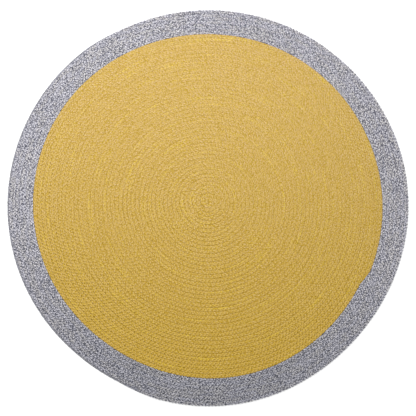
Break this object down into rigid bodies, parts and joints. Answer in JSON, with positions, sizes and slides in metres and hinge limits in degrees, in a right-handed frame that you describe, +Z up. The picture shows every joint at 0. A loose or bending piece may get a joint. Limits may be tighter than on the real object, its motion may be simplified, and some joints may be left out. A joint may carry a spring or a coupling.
{
  "type": "braided wool rug",
  "caption": "Round, flat braided wool rug: a mustard spiral coil laced inside a wide grey marled coil, lying on the floor.",
  "frame": {"origin": "on the floor, under the middle of the rug's outline", "axes": "+Z up through the rug's thickness, +Y towards the rug's top edge as it is pictured, +X to its right"},
  "size_m": [2.0172, 1.9917, 0.01],
  "materials": {
    "mustard_wool": "matt braided wool, mustard strands with a beige one",
    "grey_wool": "matt braided wool, off-white, mid grey and slate strands"
  },
  "bodies": {
    "root": {"mustard_field": "mustard_wool", "grey_border": "grey_wool"}
  },
  "joints": []
}
